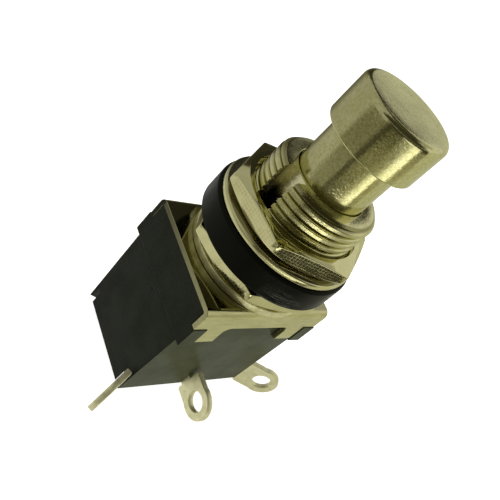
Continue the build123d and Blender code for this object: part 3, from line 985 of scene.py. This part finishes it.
def make_floor(level):
    """A pale floor that keeps the shadow; from below it is clear."""
    corners = ((-1, -1), (1, -1), (1, 1), (-1, 1))
    points = [(FLOOR_REACH * x, FLOOR_REACH * y, level) for x, y in corners]
    mesh = new_mesh("floor", points, [(0, 1, 2, 3)])
    material = bare_material("floor")
    tree = material.node_tree
    paper = tree.nodes.new("ShaderNodeBsdfDiffuse")
    paper.inputs["Color"].default_value = (*FLOOR_GREY, 1)
    glow = tree.nodes.new("ShaderNodeEmission")
    glow.inputs["Strength"].default_value = FLOOR_GLOW
    both = tree.nodes.new("ShaderNodeAddShader")
    tree.links.new(paper.outputs[0], both.inputs[0])
    tree.links.new(glow.outputs[0], both.inputs[1])
    above = white_to_camera(tree, paper.outputs[0], both.outputs[0])
    clear = tree.nodes.new("ShaderNodeBsdfTransparent")
    side = tree.nodes.new("ShaderNodeNewGeometry")
    shown = joined(tree, side.outputs["Backfacing"], above, clear.outputs[0])
    tree.links.new(shown, tree.nodes["Material Output"].inputs["Surface"])
    mesh.materials.append(material)
    floor = link("floor", mesh)
    floor.visible_glossy = False
    floor.visible_shadow = False


def make_camera():
    """The photograph's view."""
    data = bpy.data.cameras.new("camera")
    data.sensor_width = SENSOR
    data.lens = FOCAL_PIXELS * SENSOR / PHOTO_PIXELS
    data.clip_start = CLIP_START * MM
    camera = link("camera", data)
    right = Vector(CAMERA_RIGHT)
    up = -Vector(CAMERA_DOWN)
    turn = Matrix((right, up, right.cross(up))).transposed().to_4x4()
    camera.matrix_world = Matrix.Translation(Vector(CAMERA_PLACE) * MM) @ turn
    bpy.context.scene.camera = camera


make_camera()
make_world()
make_floor(heights("terminal_middle")[0] - FLOOR_GAP)

# Walls and corners of the studio
card("room", 450, ALL_ROUND, (-88, 88), WARM_WHITE, 0.44, (HARD, HARD), (HARD, HARD))
card("zenith", 445, ALL_ROUND, (56, 89), DIM, 0.06, (HARD, HARD), (0.15, HARD))
card("high_left", 443, (70, 200), (50, 84), WARM_WHITE, 0.4, (0.1, 0.1), (0.1, 0.1))
card("low_wall", 440, ALL_ROUND, (-88, -18), WARM_WHITE, 0.54, (HARD, HARD), (HARD, 0.2))
card("low_left", 438, (60, 206), (-88, -26.5), WARM_WHITE, 0.67, (0.1, 0.1), (HARD, 0.06))
card("low_spot", 437, (150, 174), (-60, -45), WARM_WHITE, 1.25, (0.2, 0.2), (0.2, 0.2))
card("right_low", 436, (304, 400), (-62, -30), GREEN_WHITE, 0.55, (0.08, 0.02), (0.1, 0.02))
card("right_wall", 435, (304, 400), (-34, 21), GREEN_WHITE, 0.6, (0.08, 0.02), (0.1, 0.02))
card("right_window", 430, (304, 387.5), (21, 45), WARM_WHITE, 0.74, (0.1, 0.02), (0.05, 0.2))
card("far_wall", 426, (27.5, 46), (23.6, 45), DIM, 0.03, (0.05, 0.2), (0.04, 0.1))
card("far_corner", 423.5, (42, 72), (4, 37), DIM, 0.04, (0.1, 0.4), (0.15, 0.1))
card("far_head", 423, (40, 56), (34, 57), DIM, 0.04, (0.15, 0.2), (0.1, 0.1))
card("far_side", 424, (40, 98), (-28, 25), DIM, 0.15, (0.05, 0.65), (0.1, 0.08))
card("overhead", 422, (176, 312), (24, 78), DIM, 0.05, (0.06, 0.1), (0.1, 0.1))

# Shades, bars and flags on the camera's side
card("near_band", 420, (148, 300), (-29, -12), DIM, 0.17, (0.08, 0.02), (0.7, 0.2))
card("near_mid", 415, (208, 289), (-31, -12), DIM, 0.41, (0.2, 0.02), (0.75, 0.1))
card("near_stripe", 410, (201, 217), (-33, -12), DIM, 0.08, (0.08, 0.4), (0.25, 0.1))
card("neck_flag", 408, (206, 262), (-27, -20.8), DIM, 0.05, (0.15, 0.3), (0.1, 0.35))
card("near_shade", 405, (198, 312), (-18, 26), DIM, 0.06, (0.08, 0.1), (0.02, 0.1))
card("side_flag", 400, (288, 312), (-30, -14), DIM, 0.42, (0.02, 0.4), (0.1, 0.1))
card("bright_strip", 395, (258, 290), (-38, -8), WARM_WHITE, 1.8, (0.8, 0.06), (0.1, 0.1))
card("rim_bar", 390, (240, 289), (-15.2, 6), WARM_WHITE, 1.3, (0.3, 0.03), (0.1, 0.3))
card("thread_flag", 389, (160, 216), (-29.8, -24.8), DIM, 0.2, (0.15, 0.06), (0.1, 0.1))
card("thread_bar", 388, (217, 278), (-30.4, -27.0), WARM_WHITE, 3.2, (0.55, 0.05), (0.15, 0.15))
card("lug_flag", 387, (262, 292), (-54, -38), DIM, 0.2, (0.15, 0.15), (0.15, 0.1))
card("washer_flag", 386, (206, 280), (-38, -30.6), DIM, 0.26, (0.15, 0.05), (0.15, 0.1))
card("low_flag", 385, (277, 302), (-40, -25.6), DIM, 0.05, (0.1, 0.15), (0.15, 0.04))

lamp("key", azimuth=120, elevation=55, distance=260, size=160, power=0.25)
lamp("fill", azimuth=270, elevation=25, distance=300, size=160, power=0.12)

bpy.context.scene.view_settings.view_transform = "Standard"
